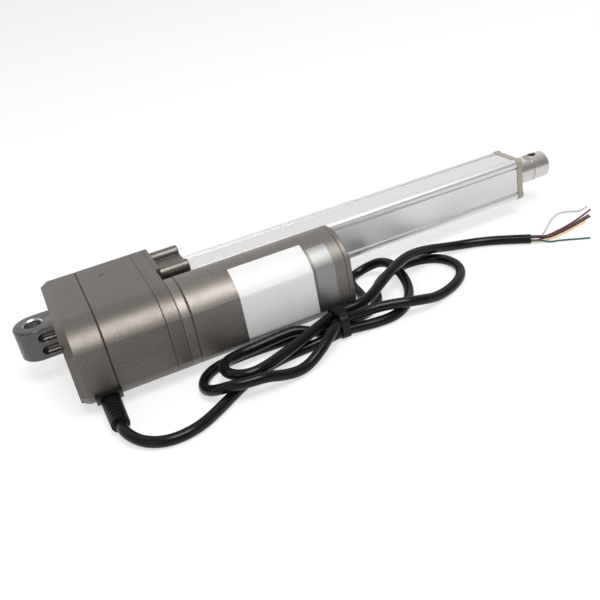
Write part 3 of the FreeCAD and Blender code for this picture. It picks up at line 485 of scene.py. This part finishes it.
# Cast lug of the rear clevis: its solid's outline under a thin skin, which closes the solid's
# straight pockets
LUG_SKIN = 0.05
LUG_HALF_W = 11.5 + LUG_SKIN
LUG_HALF_H = 9.5 + LUG_SKIN
LUG_END = 18.5
LUG_FILLET = 1.2
FILLET_SEGMENTS = 5
ROUND_PROFILE = 0.5
NOSE_ANGLES = [math.radians(d) for d in range(90, 271, 5)]
MERGE_DISTANCE = 0.001
SMOOTH_BELOW = math.radians(32)
# Rounded hollows in the lug's sides: ends along X, height above or below the middle, and radii
# along X, Y and Z
HOLLOW_START = 0.4
HOLLOW_END = 17.2
HOLLOW_Z = 4.05
HOLLOW_RADII = (3.6, 2.9, 2.75)
HOLLOW_SEGMENTS = 40
HOLLOW_RINGS = 20
# A point of the unit sphere further along X than this belongs to the hollow's far end
SPHERE_MIDDLE = 0.001
# Pin bore with a machined mouth at each end; its cutter goes past the lug's faces
BORE_R = 5.0
BORE_CHAMFER = 0.8
BORE_PAST = 1.0
BORE_ANGLES = [math.radians(d) for d in range(0, 360, 5)]


def fill_lug(shape):
    """Block with a round nose and rounded rims, without hollows or bore."""
    outline = [(LUG_HALF_W * math.cos(a), LUG_HALF_W * math.sin(a)) for a in NOSE_ANGLES]
    outline += [(LUG_END, -LUG_HALF_W), (LUG_END, LUG_HALF_W)]
    corners = [shape.verts.new(Vector((x, y, -LUG_HALF_H)) * MM) for x, y in outline]
    bottom = shape.faces.new(corners)
    raised = bmesh.ops.extrude_face_region(shape, geom=[bottom])["geom"]
    lifted = [part for part in raised if isinstance(part, bmesh.types.BMVert)]
    bmesh.ops.translate(shape, verts=lifted, vec=(0, 0, 2 * LUG_HALF_H * MM))
    bmesh.ops.recalc_face_normals(shape, faces=shape.faces)
    rims = [edge for edge in shape.edges
            if abs(edge.verts[0].co.z - edge.verts[1].co.z) < MM * LUG_SKIN
            and min(v.co.x for v in edge.verts) < (LUG_END - LUG_SKIN) * MM]
    bmesh.ops.bevel(shape, geom=rims, offset=LUG_FILLET * MM, segments=FILLET_SEGMENTS,
                    profile=ROUND_PROFILE, affect="EDGES")


def fill_hollow(shape, side, z):
    """Capsule that scoops one hollow out of a side of the lug."""
    bmesh.ops.create_uvsphere(shape, u_segments=HOLLOW_SEGMENTS, v_segments=HOLLOW_RINGS,
                              radius=1.0)
    near_end = HOLLOW_START + HOLLOW_RADII[0]
    run = HOLLOW_END - HOLLOW_START - 2 * HOLLOW_RADII[0]
    for vertex in shape.verts:
        x, y, up = (c * r for c, r in zip(vertex.co, HOLLOW_RADII))
        if vertex.co.x > SPHERE_MIDDLE:
            x += run
        vertex.co = Vector((near_end + x, side * LUG_HALF_W + y, z + up)) * MM


def fill_bore(shape):
    """Pin bore with a chamfer at each mouth."""
    wide = BORE_R + BORE_CHAMFER + BORE_PAST
    steps = ((-LUG_HALF_H - BORE_PAST, wide), (-LUG_HALF_H + BORE_CHAMFER, BORE_R),
             (LUG_HALF_H - BORE_CHAMFER, BORE_R), (LUG_HALF_H + BORE_PAST, wide))
    rings = []
    for z, r in steps:
        places = [Vector((r * math.cos(a), r * math.sin(a), z)) for a in BORE_ANGLES]
        rings.append([shape.verts.new(place * MM) for place in places])
    for low_ring, high_ring in zip(rings, rings[1:]):
        for i, vertex in enumerate(low_ring):
            shape.faces.new((low_ring[i - 1], vertex, high_ring[i], high_ring[i - 1]))
    shape.faces.new(reversed(rings[0]))
    shape.faces.new(rings[-1])
    bmesh.ops.recalc_face_normals(shape, faces=shape.faces)


def combine(piece, operation, mesh_maker):
    """Join a shape to a piece's mesh or cut it away."""
    tool = mesh_object("tool", mesh_maker)
    step = piece.modifiers.new("combine", "BOOLEAN")
    step.operation = operation
    step.solver = "EXACT"
    step.object = tool
    used = (piece.data, tool.data)
    piece.data = evaluated_mesh(piece)
    piece.modifiers.clear()
    bpy.data.objects.remove(tool)
    for mesh in used:
        bpy.data.meshes.remove(mesh)


def make_clevis_casting():
    """Rear clevis with rounded hollows for its solid's pockets, and machined mouths at its bore."""
    def copy_solid(shape):
        shape.from_mesh(NODES["rear_clevis"].data)
        bmesh.ops.remove_doubles(shape, verts=shape.verts, dist=MERGE_DISTANCE * MM)

    piece = new_piece("clevis_casting", copy_solid, "housing", CLEVIS_PAINT)
    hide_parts("rear_clevis")
    combine(piece, "UNION", fill_lug)
    for side in (-1, 1):
        for z in (-HOLLOW_Z, HOLLOW_Z):
            combine(piece, "DIFFERENCE", lambda shape, side=side, z=z: fill_hollow(shape, side, z))
    combine(piece, "DIFFERENCE", fill_bore)
    mesh = piece.data
    mesh.name = "clevis_casting"
    finish_piece(piece, CLEVIS_PAINT)
    mesh.materials.append(STEEL)
    reach = (BORE_R + BORE_CHAMFER + LUG_SKIN) * MM
    for face in mesh.polygons:
        in_bore = all(mesh.vertices[i].co.xy.length < reach for i in face.vertices)
        face.material_index = 1 if in_bore else 0
    mesh.shade_smooth()
    mesh.set_sharp_from_angle(angle=SMOOTH_BELOW)


make_clevis_casting()

# Blank stickers on the motor cover, wrapped down over the crease of its flat: X range, angle of
# the top edge in degrees, and length down the cover
RATING_LABEL = ((105.8, 149.4), 106.0, 52.0)
NAME_STRIP = ((150.9, 162.6), 117.0, 41.5)
STICKER_T = 0.16
STICKER_LIFT = 0.02
STICKER_CORNER_R = 0.7
STICKER_CORNER_ANGLES = [math.radians(d) for d in range(0, 90, 15)]
STICKER_STEPS = 48


def cover_section(s, top_deg):
    """Point and outward normal (Y, Z) on the motor cover, s mm down from a sticker's top edge."""
    crease = math.pi - math.acos(FLAT_OFFSET / LOBE_R)
    top = math.radians(top_deg)
    arc = LOBE_R * (crease - top)
    flat = 2 * LOBE_R * math.sin(crease)
    if arc <= s < arc + flat:
        return Vector((-FLAT_OFFSET, flat / 2 - (s - arc))), Vector((-1, 0))
    a = top + s / LOBE_R if s < arc else 2 * math.pi - crease + (s - arc - flat) / LOBE_R
    normal = Vector((math.cos(a), math.sin(a)))
    return normal * LOBE_R, normal


def sticker_rows(wrap):
    """Distances down a sticker, close together at its round corners, and its sides' inset there."""
    r = STICKER_CORNER_R
    corner = [(r * (1 - math.cos(a)), r * (1 - math.sin(a))) for a in STICKER_CORNER_ANGLES]
    straight = [(r + (wrap - 2 * r) * i / STICKER_STEPS, 0.0) for i in range(STICKER_STEPS + 1)]
    return corner + straight + [(wrap - s, inset) for s, inset in reversed(corner)]


def make_sticker(name, place, made):
    (x0, x1), top_deg, wrap = place

    def fill(shape):
        rows = []
        for s, inset in sticker_rows(wrap):
            at, normal = cover_section(s, top_deg)
            left = x0 + inset
            right = x1 - inset
            row = []
            for x, lift in ((left, STICKER_LIFT), (left, STICKER_T),
                            (right, STICKER_T), (right, STICKER_LIFT)):
                p = at + normal * lift
                row.append(shape.verts.new(Vector((x, MOTOR_Y + p.x, p.y)) * MM))
            rows.append(row)
        for upper, lower in zip(rows, rows[1:]):
            for i in range(len(upper)):
                shape.faces.new((upper[i - 1], upper[i], lower[i], lower[i - 1]))
        shape.faces.new(reversed(rows[0]))
        shape.faces.new(rows[-1])
        bmesh.ops.recalc_face_normals(shape, faces=shape.faces)

    new_piece(name, fill, "housing", made)


make_sticker("rating_label", RATING_LABEL, STICKER)
make_sticker("name_strip", NAME_STRIP, FOIL)

# Stage: pale floor, a soft lamp overhead, a weak one in front, and a sky that is brighter at
# the back
FLOOR_HALF = 12.0
FLOOR_COLOR = (0.92, 0.92, 0.92)
FLOOR_LIFT = 0.65
SKY_FRONT = 0.3
SKY_BACK = 1.0
SKY_FRONT_Y = -0.5
SKY_BACK_Y = 0.7
AIM = Vector((0.16, -0.02, 0.0))
KEY_SIZE = 1.0
KEY_PLACE = AIM + Vector((0.12, -0.75, 1.8))
KEY_POWER = 32.0
FILL_SIZE = 0.8
FILL_PLACE = AIM + Vector((-1.2, -0.9, 0.7))
FILL_POWER = 2.0


def floor_material():
    """Matt pale floor, lifted towards white where it is seen, by itself or in a reflection."""
    made = material("floor", FLOOR_COLOR, roughness=0.95, specular=0.1)
    nodes = made.node_tree.nodes
    links = made.node_tree.links
    rays = nodes.new("ShaderNodeLightPath")
    seen = rays.outputs["Is Camera Ray"]
    for kind in ("Is Glossy Ray", "Is Transmission Ray"):
        either = nodes.new("ShaderNodeMath")
        either.operation = "MAXIMUM"
        links.new(seen, either.inputs[0])
        links.new(rays.outputs[kind], either.inputs[1])
        seen = either.outputs["Value"]
    share = nodes.new("ShaderNodeMath")
    share.operation = "MULTIPLY"
    share.inputs[1].default_value = FLOOR_LIFT
    links.new(seen, share.inputs[0])
    white = nodes.new("ShaderNodeEmission")
    white.inputs["Strength"].default_value = 1.0
    mix = nodes.new("ShaderNodeMixShader")
    links.new(share.outputs["Value"], mix.inputs["Fac"])
    links.new(nodes["Principled BSDF"].outputs["BSDF"], mix.inputs[1])
    links.new(white.outputs["Emission"], mix.inputs[2])
    links.new(mix.outputs["Shader"], nodes["Material Output"].inputs["Surface"])
    return made


def make_floor():
    mesh = bpy.data.meshes.new("floor")
    signs = ((-1, -1), (1, -1), (1, 1), (-1, 1))
    corners = [(x * FLOOR_HALF, y * FLOOR_HALF, FLOOR_Z) for x, y in signs]
    mesh.from_pydata(corners, [], [(0, 1, 2, 3)])
    floor = add_object("floor", mesh)
    finish_piece(floor, floor_material())


def make_softbox(name, place, size, power):
    data = bpy.data.lights.new(name, "AREA")
    data.shape = "SQUARE"
    data.size = size
    data.energy = power
    lamp = add_object(name, data)
    lamp.location = place
    lamp.rotation_euler = (AIM - place).to_track_quat("-Z", "Y").to_euler()


def make_sky():
    """White sky whose strength goes from SKY_FRONT to SKY_BACK along Y."""
    world = bpy.data.worlds.new("sky")
    world.use_nodes = True
    nodes = world.node_tree.nodes
    links = world.node_tree.links
    place = nodes.new("ShaderNodeTexCoord")
    split = nodes.new("ShaderNodeSeparateXYZ")
    spread = nodes.new("ShaderNodeMapRange")
    spread.interpolation_type = "SMOOTHSTEP"
    spread.inputs["From Min"].default_value = SKY_FRONT_Y
    spread.inputs["From Max"].default_value = SKY_BACK_Y
    spread.inputs["To Min"].default_value = SKY_FRONT
    spread.inputs["To Max"].default_value = SKY_BACK
    links.new(place.outputs["Generated"], split.inputs["Vector"])
    links.new(split.outputs["Y"], spread.inputs["Value"])
    links.new(spread.outputs["Result"], nodes["Background"].inputs["Strength"])
    nodes["Background"].inputs["Color"].default_value = (1, 1, 1, 1)
    bpy.context.scene.world = world


def make_stage():
    make_floor()
    make_softbox("key", KEY_PLACE, KEY_SIZE, KEY_POWER)
    make_softbox("fill", FILL_PLACE, FILL_SIZE, FILL_POWER)
    make_sky()
    bpy.context.scene.view_settings.view_transform = "Standard"


make_stage()
